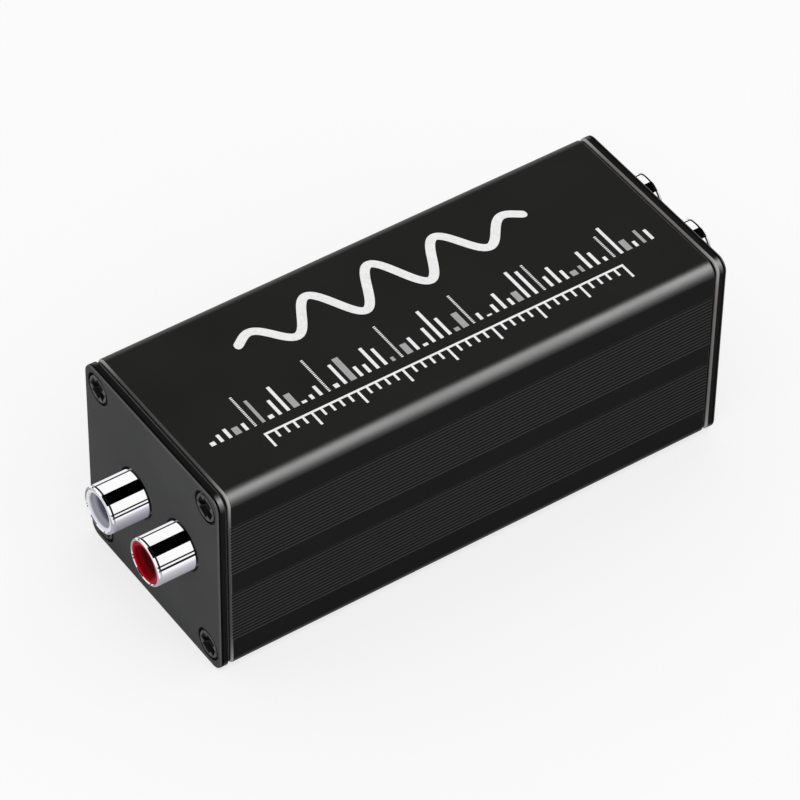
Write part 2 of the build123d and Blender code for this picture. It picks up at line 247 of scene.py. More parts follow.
def dress(tree, shader, color=None, roughness=None, metallic=None):
    for name, value in (("Base Color", color), ("Roughness", roughness), ("Metallic", metallic)):
        if value is not None:
            tree.links.new(value, shader.inputs[name])


def painted(tree, name):
    mark = tree.nodes.new("ShaderNodeAttribute")
    mark.attribute_name = name
    return mark.outputs["Fac"]


def between(tree, value, low, high, blur):
    # 1 inside the two limits and 0 outside, over a soft step
    rise = remap(tree, value, 0, 1, low - blur / 2, low + blur / 2, smooth=True)
    fall = remap(tree, value, 1, 0, high - blur / 2, high + blur / 2, smooth=True)
    return math2(tree, "MULTIPLY", rise, fall)


anodised = dict(
    blackColor=(0.0105, 0.0105, 0.0103), litTopColor=(0.0165, 0.0165, 0.0157), litFaceColor=(0.070, 0.071, 0.070),
    crestHighlightColor=(0.037, 0.037, 0.036), grooveShadeColor=(0.004, 0.004, 0.004), bandEdgeHighlightColor=(0.062, 0.062, 0.061),
    shadedSideColor=(0.0075, 0.0075, 0.0073), plateRimHighlightColor=(0.095, 0.095, 0.092),
    jointColor=(0.0012, 0.0012, 0.0012), caseLitChamferColor=(0.085, 0.083, 0.080),
    plateLitChamferColor=(0.20, 0.19, 0.18), cornerHighlightColor=(0.52, 0.51, 0.50),
    edgeColor=(0.105, 0.105, 0.104), edgeRoughness=0.56,
    roughness=0.40, specular=0.02, mottle=0.86, grain=5200, grainDepth=0.00001,
    edgeFrom=2.35 * mm, edgeTo=1.0 * mm, joint=0.17 * mm, chamferBlur=0.08 * mm, lineCorner=9 * mm,
    grooveFade=0.16 * mm, bandBlur=0.05 * mm, bandEdge=0.06 * mm, sideSkin=0.5 * mm, topSkin=0.1 * mm,
    plateRimFrom=0.30 * mm, plateRimTo=0.03 * mm, plateRimBlur=0.03 * mm, plateFaceSkin=0.02 * mm,
    rimDarkLine=0.38 * mm, rimDarkLineBlur=0.06 * mm, rimAbove=12.2 * mm, rimBeside=1.5 * mm)


def anodisedMaterial(name):
    # black satin skin with fine grain; it also gives the slow mottle, the edges' worn metal and the distances
    look = anodised
    material, tree, shader = newMaterial(name, look["blackColor"], 0, look["roughness"], look["specular"])
    slow = noise(tree, 55, 2)
    streak = noise(tree, 900, 2, (0.02, 1, 1))
    gloss = math2(tree, "ADD", slow, streak)
    x, y, z = objectPlace(tree)
    fromSide = math2(tree, "SUBTRACT", caseWidth / 2 * mm, y)
    fromTop = math2(tree, "SUBTRACT", caseHeight / 2 * mm, z)
    further = math2(tree, "MAXIMUM", fromSide, fromTop)
    worn = remap(tree, further, 0, 1, look["edgeFrom"], look["edgeTo"], smooth=True)
    satin = remap(tree, gloss, look["roughness"] - 0.05, look["roughness"] + 0.07, 0.6, 1.4)
    softer = math2(tree, "MULTIPLY", worn, look["edgeRoughness"] - look["roughness"])
    dress(tree, shader, roughness=math2(tree, "ADD", satin, softer))
    addBump(tree, shader, noise(tree, look["grain"], 2), 0.25, look["grainDepth"])
    return material, tree, shader, slow, worn, (x, z, fromSide, fromTop)


def mottled(tree, slow, color):
    return mixColor(tree, remap(tree, slow, 0, 1, 0.35, 0.65), darker(color, anodised["mottle"]), color)


def paintedLightChamfer(tree, depth, width, body, lineColor, fromSide, fromTop, litEnd):
    # chamfer beside the joint of case and plate: black in the joint, painted light at one end (a painted
    # highlight, brighter near the corners) and painted shade (black) at the other
    look = anodised
    blur = look["chamferBlur"]
    # brighter towards the long edges' corners: painted highlight
    corner = remap(tree, math2(tree, "MAXIMUM", fromSide, fromTop), 0, 1, look["lineCorner"], 0)
    lightAndShade = mixColor(tree, math2(tree, "MULTIPLY", corner, corner), lineColor, look["cornerHighlightColor"])
    # painted shade: the same chamfers at the other end are black
    atOtherEnd = remap(tree, objectAxes(tree)["X"], 1, 0, -litEnd * mm, litEnd * mm)
    lightAndShade = mixColor(tree, atOtherEnd, lightAndShade, look["blackColor"])
    cut = remap(tree, depth, 1, 0, width - blur / 2, width + blur / 2, smooth=True)
    skin = mixColor(tree, cut, body, lightAndShade)
    inJoint = remap(tree, depth, 1, 0, look["joint"] - blur, look["joint"] + blur)
    return mixColor(tree, inJoint, skin, look["jointColor"]), cut


def caseSkin():
    # ridge crests and band edges paler as painted highlight, grooves darker as painted shade, the top paler as
    # painted light, and a painted lit chamfer at the input end
    look = anodised
    material, tree, shader, slow, worn, (x, z, fromSide, fromTop) = anodisedMaterial("caseAnodised")
    halfBand = (case["groovesInBand"] * case["groovePitch"]) / 2 * mm
    middle, edge = case["bandOffset"] * mm, look["bandEdge"]
    inBand = between(tree, z, middle - halfBand, middle + halfBand, look["bandBlur"])
    onSide = remap(tree, fromSide, 1, 0, look["sideSkin"], 1.2 * look["sideSkin"])
    upperEdge = remap(tree, z, 0, 1, middle + halfBand - 1.5 * edge, middle + halfBand - 0.5 * edge)
    lowerEdge = remap(tree, z, 1, 0, middle - halfBand + 0.5 * edge, middle - halfBand + 1.5 * edge)
    bandEdge = math2(tree, "MAXIMUM", upperEdge, lowerEdge)
    # painted highlight on the crests and band edges, painted shade down in the grooves
    crest = mixColor(tree, bandEdge, look["crestHighlightColor"], look["bandEdgeHighlightColor"])
    ridged = mixColor(tree, remap(tree, fromSide, 0, 1, 0, look["grooveFade"]), crest, look["grooveShadeColor"])
    inBand = math2(tree, "MULTIPLY", inBand, onSide)
    topZ = caseHeight / 2 * mm
    onTop = remap(tree, z, 0, 1, topZ - 3 * look["topSkin"], topZ - look["topSkin"], smooth=True)
    # the top is painted a little paler than the sides: painted light
    black, top = (mottled(tree, slow, look[name]) for name in ("blackColor", "litTopColor"))
    plain = mixColor(tree, onTop, black, top)
    body = mixColor(tree, inBand, plain, ridged)
    body = mixColor(tree, worn, body, look["edgeColor"])
    fromEnd = math2(tree, "SUBTRACT", caseLength / 2 * mm, x)
    body, cut = paintedLightChamfer(tree, fromEnd, case["endBevel"] * mm, body, look["caseLitChamferColor"],
                            fromSide, fromTop, ends["input"])
    dress(tree, shader, body, metallic=math2(tree, "MULTIPLY", worn, math2(tree, "SUBTRACT", 1.0, cut)))
    return material


def plateSkin():
    # face painted paler and side and bores painted darker: painted light and painted shade on the same black
    # anodising; a painted highlight line on the rims of the face and its screw holes, a black line painted
    # behind the front rim, and a painted lit chamfer at the output end
    look = anodised
    material, tree, shader, slow, worn, (x, z, fromSide, fromTop) = anodisedMaterial("plateAnodised")
    behind = math2(tree, "SUBTRACT", (caseLength / 2 + plate["thickness"]) * mm, x)
    side = mixColor(tree, worn, mottled(tree, slow, look["shadedSideColor"]), look["edgeColor"])
    rimEnd = look["plateRimFrom"]
    # a black line painted on the side just behind the front rim, where the shape has no groove
    groove = between(tree, behind, rimEnd, rimEnd + look["rimDarkLine"], look["rimDarkLineBlur"])
    side = mixColor(tree, groove, side, look["jointColor"])
    fromBack = math2(tree, "SUBTRACT", plate["thickness"] * mm, behind)
    side, cut = paintedLightChamfer(tree, fromBack, plate["backBevel"] * mm, side, look["plateLitChamferColor"],
                            fromSide, fromTop, ends["output"])
    onSide = remap(tree, behind, 0, 1, look["plateFaceSkin"], rimEnd + 0.05 * mm)
    # painted highlight: a bright line on the rounded rims of the face and of the screw holes
    rim = between(tree, behind, look["plateRimTo"], rimEnd, look["plateRimBlur"])
    # the socket holes' edges stay black
    above = remap(tree, z, 0, 1, look["rimAbove"] - 0.1 * mm, look["rimAbove"] + 0.1 * mm)
    beside = remap(tree, fromSide, 1, 0, look["rimBeside"] - 0.1 * mm, look["rimBeside"] + 0.1 * mm)
    rim = math2(tree, "MULTIPLY", rim, math2(tree, "MAXIMUM", above, beside))
    # the face is painted paler and the side darker: painted light and painted shade on the same black
    # anodising
    body = mixColor(tree, onSide, mottled(tree, slow, look["litFaceColor"]), side)
    metal = math2(tree, "MULTIPLY", math2(tree, "MULTIPLY", worn, onSide), math2(tree, "SUBTRACT", 1.0, cut))
    dress(tree, shader, mixColor(tree, rim, body, look["plateRimHighlightColor"]), metallic=metal)
    return material


def chromeMaterial():
    # bright metal, painted black where the barrel's mark is 1: painted shade
    bright, dark = barrel["brightColor"], barrel["seamShadeColor"]
    material, tree, shader = newMaterial("barrelChrome", bright, 1.0, 0.04)
    color = mixColor(tree, painted(tree, "seam"), bright, dark)
    dress(tree, shader, color, remap(tree, noise(tree, 700, 3), 0.02, 0.05))
    return material


def plasticMaterial(name, color, roughness, coat, grain, specular=0.5):
    material, tree, shader = newMaterial(name, color, 0, roughness, specular)
    shader.inputs["Coat Weight"].default_value = coat
    shader.inputs["Coat Roughness"].default_value = 0.12
    slow = remap(tree, noise(tree, 400, 2), 0, 1, 0.3, 0.7)
    dress(tree, shader, mixColor(tree, slow, darker(color, 0.92), color),
          remap(tree, slow, roughness - 0.04, roughness + 0.05))
    addBump(tree, shader, noise(tree, grain, 2), 0.15, 0.00001)
    return material


def insulatorMaterial(channel):
    # satin moulded lip; the cup inside it is painted darker with depth: painted shade
    lipColor, shadedWallColor, floorColor = insulator["colors"][channel]
    material = plasticMaterial(f"insulator{channel.capitalize()}", lipColor, 0.4, 0.0, 2600, 0.03)
    tree = material.node_tree
    shader = tree.nodes["Principled BSDF"]
    mouth = caseLength / 2 + plate["thickness"] + insulator["front"]
    depth = math2(tree, "SUBTRACT", mouth * mm, objectPlace(tree)[0])
    lipEnd, wallStart, wallEnd, floorStart = (place * mm for place in insulator["shades"][channel])
    wall = mixColor(tree, remap(tree, depth, 0, 1, wallEnd, floorStart, smooth=True), shadedWallColor, floorColor)
    inside = remap(tree, depth, 0, 1, lipEnd, wallStart, smooth=True)
    dress(tree, shader, mixColor(tree, inside, lipColor, wall))
    return material


def screwMaterial():
    # blackened steel with black recess and thread; the head's top and rim are paler, partly rubbed wear and
    # partly a painted highlight
    material, tree, shader = newMaterial("screwBlack", (0.02, 0.02, 0.02), 0, 0.35, 0.05)
    spots = remap(tree, noise(tree, 1500, 3), 0, 1, 0.35, 0.65)
    rubbedAndSheen = mixColor(tree, spots, (0.075, 0.075, 0.072), (0.125, 0.125, 0.12))
    top, worn = caseLength / 2 + plate["thickness"] - screw["headSink"], screw["rubbedAndSheen"]
    # paler top and rim: partly rubbed wear, partly a painted highlight
    onTop = remap(tree, objectPlace(tree)[0], 0, 1, (top - worn) * mm, (top - worn / 2) * mm, smooth=True)
    dress(tree, shader, mixColor(tree, onTop, (0.004, 0.004, 0.004), rubbedAndSheen), remap(tree, spots, 0.28, 0.42))
    addBump(tree, shader, noise(tree, 3500, 2), 0.2, 0.00001)
    return material


def inkMaterial(name, color):
    material, tree, shader = newMaterial(name, color, 0, 0.5, 0.3)
    spots = remap(tree, noise(tree, 1800, 3), 0, 1, 0.35, 0.65)
    dress(tree, shader, mixColor(tree, spots, darker(color, 0.9), color))
    addBump(tree, shader, noise(tree, 4200, 2), 0.2, 0.000008)
    return material


# Case body: one extruded tube

case = dict(
    cornerRadius=2.2, cornerSteps=14, wall=1.8,
    endBevel=0.5, endProfile=((1.0, 0.0), (0.08, 0.9), (0.0, 1.1)),  # inset and place, in bevels
    groovePitch=0.7, groovesInBand=15, bandOffset=7.4, samplesPerGroove=10,
    grooveDepth=0.27, grooveHalfWidth=0.28, crestRound=0.02, crestReach=0.06,
    screwInset=3.6, channelRadius=2.6, channelBore=1.4, channelMouth=1.4, arcSteps=14,
    railDepth=1.2, railHeight=1.2, railSlot=1.8, boardMiddle=11.6)


def grooveDepthAt(z, sizes):
    # V section with softened crest: the soft positive part of half width less distance from a groove's middle
    depth = np.zeros_like(z)
    for band in (-1, 1):
        fromBand = z - band * sizes["bandOffset"]
        pitch, last = sizes["groovePitch"], (sizes["groovesInBand"] - 1) / 2
        groove = np.clip(np.round(fromBand / pitch), -last, last)
        distance = np.abs(fromBand - groove * pitch)
        inside = sizes["grooveHalfWidth"] - distance
        soft = (inside + np.sqrt(inside**2 + sizes["crestRound"]**2)) / 2
        cut = soft * sizes["grooveDepth"] / sizes["grooveHalfWidth"]
        depth = np.maximum(depth, np.where(inside > -sizes["crestReach"], cut, 0))
    return depth


def caseOutline(sizes):
    # rounded square with many points up each long side, where the grooves are
    radius, steps = sizes["cornerRadius"], sizes["cornerSteps"]
    corners, cornerNormals = roundedRectangle(caseWidth, caseHeight, radius, steps)
    top, bottom = slice(len(corners) // 2), slice(len(corners) // 2, None)
    step = sizes["groovePitch"] / sizes["samplesPerGroove"]
    last = sizes["groovesInBand"] * sizes["samplesPerGroove"] // 2
    band = np.arange(-last, last + 1) * step
    rise = np.concatenate((band - sizes["bandOffset"], band + sizes["bandOffset"]))
    half = caseWidth / 2
    rightSide = np.stack((np.full(len(rise), half), rise), axis=1)
    leftSide = np.stack((np.full(len(rise), -half), rise[::-1]), axis=1)
    rightNormals, leftNormals = (np.tile((sign, 0.0), (len(rise), 1)) for sign in (1.0, -1.0))
    # round the corners from the right side's lower end: right side, top corners, left side, bottom corners
    outline = np.concatenate((rightSide, corners[top], leftSide, corners[bottom]))
    normals = np.concatenate((rightNormals, cornerNormals[top], leftNormals, cornerNormals[bottom]))
    depth = np.where(np.abs(normals[:, 0]) > 0.999, grooveDepthAt(outline[:, 1], sizes), 0)
    return outline, normals, depth


def caseInside(sizes):
    # one quarter, which the others mirror: side wall, round the screw channel and its bore, and roof
    place = caseWidth / 2 - sizes["screwInset"]
    wallAt = caseWidth / 2 - sizes["wall"]
    lobe, bore, mouth = sizes["channelRadius"], sizes["channelBore"], sizes["channelMouth"] / 2
    start = -math.acos((wallAt - place) / lobe)
    inward = -0.75 * math.pi  # towards the tube's middle
    lobeEnd, boreStart = inward + math.asin(mouth / lobe), inward + math.asin(mouth / bore)
    steps = sizes["arcSteps"]
    firstLobe = np.linspace(start, lobeEnd, steps)
    boreTurn = np.linspace(boreStart, fullTurn + inward - math.asin(mouth / bore), 2 * steps)
    secondLobe = np.linspace(inward - math.asin(mouth / lobe), -math.pi / 2 - start - math.pi, steps)
    arcs = [(firstLobe, lobe), (boreTurn, bore), (secondLobe, lobe)]
    return np.concatenate([place + r * np.stack((np.cos(a), np.sin(a)), axis=1) for a, r in arcs])


def caseInnerLoop(sizes):
    # the four quarters joined, with two board rails on each side wall
    quarter = caseInside(sizes)
    wallAt = caseWidth / 2 - sizes["wall"]
    rail, high, slot = sizes["railDepth"], sizes["railHeight"], sizes["railSlot"] / 2
    middle = sizes["boardMiddle"] - midHeight
    levels = [middle - slot - high, middle - slot, middle + slot, middle + slot + high]
    reach = [wallAt, wallAt - rail, wallAt - rail, wallAt]
    rails = np.column_stack((np.tile(reach, 2), np.repeat(levels, 2)))
    left = np.array((-1.0, 1.0))
    return np.concatenate((rails, quarter, (quarter * left)[::-1], (rails * left)[::-1],
                           quarter * -1, (quarter * -left)[::-1]))


def makeCase(sizes):
    # the outline carried along X, moved in along its normals by the groove's depth or the end's inset,
    # whichever is more; the inner loop goes straight through, and flat fills close the wall at both ends
    outline, normals, depth = caseOutline(sizes)
    inset, fromEnd = np.array(sizes["endProfile"]).T * sizes["endBevel"]
    x = np.concatenate((fromEnd - caseLength / 2, (caseLength / 2 - fromEnd)[::-1]))
    offset = -np.maximum(depth[None, :], np.concatenate((inset, inset[::-1]))[:, None])
    outer = outline[None] + offset[..., None] * normals[None]
    along = np.broadcast_to(x[:, None, None], (*offset.shape, 1))
    outerPoints = np.concatenate((along, outer), axis=-1).reshape(-1, 3)
    inner = caseInnerLoop(sizes)
    walls = [np.column_stack((np.full(len(inner), end * caseLength / 2), inner)) for end in (-1, 1)]
    points = np.concatenate((outerPoints, *walls)) + (0, 0, midHeight)
    rows, columns = offset.shape
    innerStart = rows * columns
    faces = gridQuads(rows, columns) + gridQuads(2, len(inner), innerStart)
    faces += fillBetween((outer[0], inner), (0, innerStart))
    faces += fillBetween((outer[-1], inner), ((rows - 1) * columns, innerStart + len(inner)))
    piece = makePiece("caseTube", points, faces)
    placePiece(piece, caseSkin(), "case_anodised", "case_body")
    satinPieces.append(piece)


makeCase(case)
print("case ready")


# End plates: a flat plate with rounded rim, two socket holes and four counterbored screw holes

plate = dict(
    thickness=2.0, cornerRadius=2.2, cornerSteps=12, frontRound=0.3, backBevel=0.5, roundSteps=4,
    socketHole=4.58, socketRound=0.1, holeColumns=72,
    screwInset=3.6, counterbore=3.0, boreDepth=1.25, boreRound=0.12, shankHole=1.6)


def socketPlace(end, channel):
    # middle of the socket's barrel across the case and above the ground
    low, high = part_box(f"{end}_{channel}_barrel")
    return (low.y + high.y) / 2 / mm, (low.z + high.z) / 2 / mm


def screwPlaces():
    # middles of an end's four screws across the case and about its mid height
    spread = caseWidth / 2 - plate["screwInset"]
    return [(y, z) for y in (-spread, spread) for z in (-spread, spread)]


def quarterRound(radius, steps):
    # profile from the front face (inset by the radius) over a quarter circle to the side
    angles = np.linspace(0, math.pi / 2, steps + 1)
    return np.stack((-radius * (1 - np.sin(angles)), radius * (1 - np.cos(angles))), axis=1)


def makePlate(end, way, sizes):
    # rim and holes are profiles carried round their outlines, and flat fills join them at front and back
    faceX = way * (caseLength / 2 + sizes["thickness"])
    points, faces, frontLoops, backLoops = [], [], [], []
    count = 0

    def addWall(outline, normals, profile, outward):
        # profile (offset, depth) carried round the outline, from the front face to the back;
        # a hole's offsets grow into the plate
        nonlocal count
        offset, depth = np.asarray(profile).T
        ring = outline[None] + outward * offset[:, None, None] * normals[None]
        x = np.broadcast_to((faceX - way * depth)[:, None, None], (*ring.shape[:2], 1))
        points.append(np.concatenate((x, ring), axis=-1).reshape(-1, 3))
        faces.extend(gridQuads(len(profile), len(outline), count))
        frontLoops.append((ring[0], count))
        count += len(profile) * len(outline)
        backLoops.append((ring[-1], count - len(outline)))

    steps, thick, columns = sizes["roundSteps"], sizes["thickness"], sizes["holeColumns"]
    outline, normals = roundedRectangle(caseWidth, caseHeight, sizes["cornerRadius"], sizes["cornerSteps"])
    rim = np.concatenate((quarterRound(sizes["frontRound"], steps),
                          ((0, thick - sizes["backBevel"]), (-sizes["backBevel"], thick))))
    addWall(outline, normals, rim, 1)
    hole = np.concatenate((quarterRound(sizes["socketRound"], steps), ((0, thick),)))
    for channel in channels:
        y, z = socketPlace(end, channel)
        addWall(*circle(sizes["socketHole"], columns, (y, z - midHeight)), hole, -1)
    step, floor = sizes["shankHole"] - sizes["counterbore"], sizes["boreDepth"]
    hole = np.concatenate((quarterRound(sizes["boreRound"], steps),
                           ((0, floor), (-step, floor), (-step, thick))))
    for place in screwPlaces():
        addWall(*circle(sizes["counterbore"], columns, place), hole, -1)
    for loops in (frontLoops, backLoops):
        faces.extend(fillBetween([loop for loop, start in loops], [start for loop, start in loops]))
    points = np.concatenate(points) + (0, 0, midHeight)
    piece = makePiece(f"{end}Plate", points, faces)
    placePiece(piece, plateMaterial, "plate_anodised", f"{end}_end_plate")
    satinPieces.append(piece)


plateMaterial = plateSkin()
for end, way in ends.items():
    makePlate(end, way, plate)
print("end plates ready")


# Plate screws: turned head with a cross recess, and a threaded shank

screw = dict(
    headRadius=2.38, headHeight=1.15, headSink=0.1, headRound=0.16, roundSteps=5, dome=0.04, rubbedAndSheen=0.14,
    crossLength=2.02, crossHalfWidth=1.05, crossDepth=0.85, crossTaper=0.6, crossEdge=0.05, crossTurn=25.0,
    floorDish=0.15, floorMiddle=0.5, footRise=0.05, wallTop=0.97,  # shares of the cross's depth and reach
    domeShares=(0.35, 0.7, 1.0),  # of the way from the cross to the rim
    shankRadius=1.36, threadDepth=0.2, threadPitch=0.8, shankLength=8.0, tip=0.6, tipInset=0.35,
    threadStart=0.05, threadSlope=1.6, threadCrest=0.3,
    poleRadius=0.02, columns=96, rowsPerTurn=6)


def crossRadius(angle, sizes):
    # how far the cross reaches at an angle: the further of its two bars, each a rectangle about the middle
    length, half = sizes["crossLength"], sizes["crossHalfWidth"]
    c, s = np.maximum(np.abs(np.cos(angle)), 1e-6), np.maximum(np.abs(np.sin(angle)), 1e-6)
    alongFirst = np.minimum(length / c, half / s)
    alongSecond = np.minimum(half / c, length / s)
    return np.maximum(alongFirst, alongSecond)


def crossAngles(sizes):
    # evenly spread angles, and one more at each corner of the cross
    even = np.arange(sizes["columns"]) * fullTurn / sizes["columns"]
    tip = math.atan2(sizes["crossHalfWidth"], sizes["crossLength"])
    marks = np.array((-tip, tip, math.pi / 4))
    corners = np.concatenate([quarter * math.pi / 2 + marks for quarter in range(4)])
    return np.unique(np.round(np.concatenate((even, corners % fullTurn)), 5))


def screwRows(sizes):
    # rows of (radius, height) from the recess's middle over the head and down the thread to the tip
    angles = crossAngles(sizes)
    cross = crossRadius(angles, sizes)
    flat = np.ones_like(angles)
    top, rim, pole = sizes["headHeight"], sizes["headRadius"] - sizes["headRound"], sizes["poleRadius"] * flat
    depth, foot = sizes["crossDepth"], sizes["crossTaper"] * cross
    rows = [(pole, (top - (1 + sizes["floorDish"]) * depth) * flat),
            (sizes["floorMiddle"] * foot, (top - depth) * flat),
            (foot, (top - (1 - sizes["footRise"]) * depth) * flat),
            (sizes["wallTop"] * cross, (top - sizes["crossEdge"]) * flat),
            (cross + sizes["crossEdge"], top * flat)]
    for share in sizes["domeShares"]:
        rows.append((cross * (1 - share) + rim * share, (top + sizes["dome"] * (1 - share)) * flat))
    for bend in np.linspace(0, math.pi / 2, sizes["roundSteps"] + 1)[1:]:
        rows.append(((rim + sizes["headRound"] * math.sin(bend)) * flat,
                     (top - sizes["headRound"] * (1 - math.cos(bend))) * flat))
    rows.append((sizes["headRadius"] * flat, 0 * flat))
    # thread: the radius falls and rises once per pitch, a turn later for each pitch of depth
    length, pitch = sizes["shankLength"], sizes["threadPitch"]
    count = int(length / pitch * sizes["rowsPerTurn"])
    for drop in np.linspace(sizes["threadStart"], length - sizes["tip"], count):
        phase = (drop / pitch - angles / fullTurn) % 1
        cut = sizes["threadSlope"] * np.abs(2 * phase - 1) - sizes["threadCrest"]
        cut = sizes["threadDepth"] * np.clip(cut, 0, 1)
        rows.append((sizes["shankRadius"] - cut, -drop * flat))
    rows.append(((sizes["shankRadius"] - sizes["threadDepth"] - sizes["tipInset"]) * flat, -length * flat))
    rows.append((pole, -length * flat))
    radius, height = (np.array(part) for part in zip(*rows))
    return radius, height, angles


def makeScrews(end, way, sizes):
    # each screw's rows go round its own axis: radius times cosine and sine, at their height along X
    radius, height, angles = screwRows(sizes)
    rows, columns = radius.shape
    seat = caseLength / 2 + plate["thickness"] - sizes["headSink"] - sizes["headHeight"]
    turn = angles + math.radians(sizes["crossTurn"])
    points, faces = [], []
    for y, z in screwPlaces():
        grid = np.stack((way * (seat + height), y - way * radius * np.cos(turn),
                         midHeight + z + radius * np.sin(turn)), axis=-1)
        start = sum(map(len, points))
        points.append(grid.reshape(-1, 3))
        faces += gridQuads(rows, columns, start)
        for ring in (start, start + (rows - 1) * columns):
            faces.append(list(range(ring, ring + columns)))
    piece = makePiece(f"{end}Screws", np.concatenate(points), faces)
    placePiece(piece, screwBlack, "screw_black", f"{end}_plate_screws")
    satinPieces.append(piece)


screwBlack = screwMaterial()
for end, way in ends.items():
    makeScrews(end, way, screw)
print("screws ready")


# Sockets: chromed barrel with rolled lip, and a moulded insulator in it

barrel = dict(
    radius=4.15, bore=3.55, reach=7.0, neck=3.9, sleeveEnd=-6.9, columns=128,
    flange=5.0, flangeFront=-2.1, flangeBack=-2.9, seat=3.78, seatDepth=0.35,
    lipOutside=0.36, lipInside=0.03, footRound=0.05, edgeRound=0.1,
    seam=6.46, seamWidth=0.3, seamDepth=0.1, seamFloor=0.6, seamEdge=0.02,
    shadeMiddle=112, shadeReach=54, shadeFade=20, baseLine=0.14, baseEdge=0.03,  # the first three in degrees
    brightColor=(0.97, 0.97, 0.98), seamShadeColor=(0.01, 0.01, 0.012))
insulator = dict(
    radius=3.5, cup=3.0, front=6.95, lip=3.73, lipBack=6.67, chamber=2.05, back=-7.0, columns=112,
    holeFront=5.3, hole=1.7, holeBack=0.6,
    lipRound=0.26, lipInner=0.4, cupRound=1.15, holeRound=0.12, edgeRound=0.1,
    # the cup's wall and floor colours are painted shade, deepening past the depths in shades
    shades={"white": (0.15, 0.55, 1.0, 1.6), "red": (0.0, 0.28, 0.9, 1.5)},
    colors={"white": ((0.88, 0.88, 0.96), (0.45, 0.45, 0.52), (0.09, 0.09, 0.12)),
            "red": ((0.46, 0.003, 0.015), (0.24, 0.001, 0.004), (0.06, 0.0, 0.001))})


def paintedShadeMark(profile, columns):
    # painted shade: 1 in the groove behind the lip, on the upper front part of its round only, and at the
    # barrel's foot and neck
    s = barrel
    reach, radius = np.asarray(profile).T
    inGroove = (np.abs(reach - s["seam"]) < s["seamWidth"] / 2 + s["seamEdge"] / 2) & (radius > s["neck"])
    atFoot = (radius > s["seat"]) & (reach <= s["baseLine"]) & (reach >= s["flangeFront"])
    angles = np.arange(columns) * 360 / columns
    fromMiddle = np.abs((angles - s["shadeMiddle"] + 180) % 360 - 180)
    share = np.clip((s["shadeReach"] - fromMiddle) / s["shadeFade"] + 0.5, 0, 1)
    return np.maximum(inGroove[:, None] * share, atFoot[:, None]).ravel()


def makeSocket(end, way, channel):
    # barrel and insulator are closed profiles of (reach, radius) with rounded corners, turned about their axis
    y, z = socketPlace(end, channel)
    plateX = way * (caseLength / 2 + plate["thickness"])
    s = barrel
    outside, seam, half, line = s["radius"], s["seam"], s["seamWidth"] / 2, s["baseLine"]
    edge, low, bottom = half + s["seamEdge"], s["seamFloor"] * half, outside - s["seamDepth"]
    corners = [(s["reach"], s["seat"]), (s["reach"], outside),
               (seam + edge, outside), (seam + half, outside), (seam + low, bottom),
               (seam - low, bottom), (seam - half, outside), (seam - edge, outside),
               (line + s["baseEdge"], outside), (line, outside), (0, outside), (0, s["neck"]),
               (s["flangeFront"], s["neck"]), (s["flangeFront"], s["flange"]), (s["flangeBack"], s["flange"]),
               (s["flangeBack"], s["neck"]), (s["sleeveEnd"], s["neck"]), (s["sleeveEnd"], s["bore"]),
               (s["reach"] - s["seatDepth"], s["bore"]), (s["reach"] - s["seatDepth"], s["seat"])]
    small = s["edgeRound"]
    radii = [s["lipInside"], s["lipOutside"], *[0] * 8, s["footRound"], 0, 0,
             small, small, 0, small, small, 0, 0]
    profile = roundedCorners(corners, radii)
    points, faces = turned(profile, (plateX, y, z), way, s["columns"])
    piece = makePiece(f"{end}{channel.capitalize()}Barrel", points, faces)
    # the seam mark holds painted shade
    mark = piece.data.attributes.new("seam", "FLOAT", "POINT")
    mark.data.foreach_set("value", paintedShadeMark(profile, s["columns"]))
    placePiece(piece, chrome, "barrel_chrome", f"{end}_{channel}_barrel")
    socketPieces.append(piece)
    s = insulator
    corners = [(s["front"], s["cup"]), (s["front"], s["lip"]), (s["lipBack"], s["lip"]),
               (s["lipBack"], s["radius"]), (s["back"], s["radius"]), (s["back"], s["chamber"]),
               (s["holeBack"], s["chamber"]), (s["holeBack"], s["hole"]), (s["holeFront"], s["hole"]),
               (s["holeFront"], s["cup"])]
    small = s["edgeRound"]
    radii = [s["lipInner"], s["lipRound"], 0, 0, small, 0, 0, small, s["holeRound"], s["cupRound"]]
    points, faces = turned(roundedCorners(corners, radii), (plateX, y, z), way, s["columns"])
    piece = makePiece(f"{end}{channel.capitalize()}Insulator", points, faces)
    placePiece(piece, insulatorMaterials[channel], f"insulator_{channel}", f"{end}_{channel}_insulator")
    socketPieces.append(piece)


chrome = chromeMaterial()
insulatorMaterials = {channel: insulatorMaterial(channel) for channel in channels}
for end, way in ends.items():
    for channel in channels:
        makeSocket(end, way, channel)
print("sockets ready")


# Print on the top: a row of level bars over a ruled scale, and a plain wave

ink = dict(thickness=0.03, sink=0.005)
bars = dict(
    count=56, pitch=1.52, baseline=-8.05, width=0.58, tallest=7.2, shortest=0.35, stub=0.9, stubWiden=1.5,
    slowWave=(0.83, 0.4), slowerWave=(0.29, 1.1), waveSharpness=1.4, quickWave=2.31, quickShare=0.3,
    wide=(7, 3), dashed=(9, 5), tinted=(8, 6),  # one in so many, and which of them
    wideWidth=1.12, wideShare=0.72, wideMore=0.8,
    thinWidth=0.42, dash=0.2, dashGap=0.16, dashedLeast=5.2, dashedMore=3.2, dashedWave=1.7)
scale = dict(
    halfLength=34.0, line=-10.1, stroke=0.42, step=1.7, longEvery=5, shortTick=1.5, longTick=2.9, gap=0.001)
wave = dict(
    start=-27.5, end=28.5, middle=8.0, height=4.3, periods=4.5, swell=0.5, stroke=1.6, steps=400,
    tipHalf=0.004)


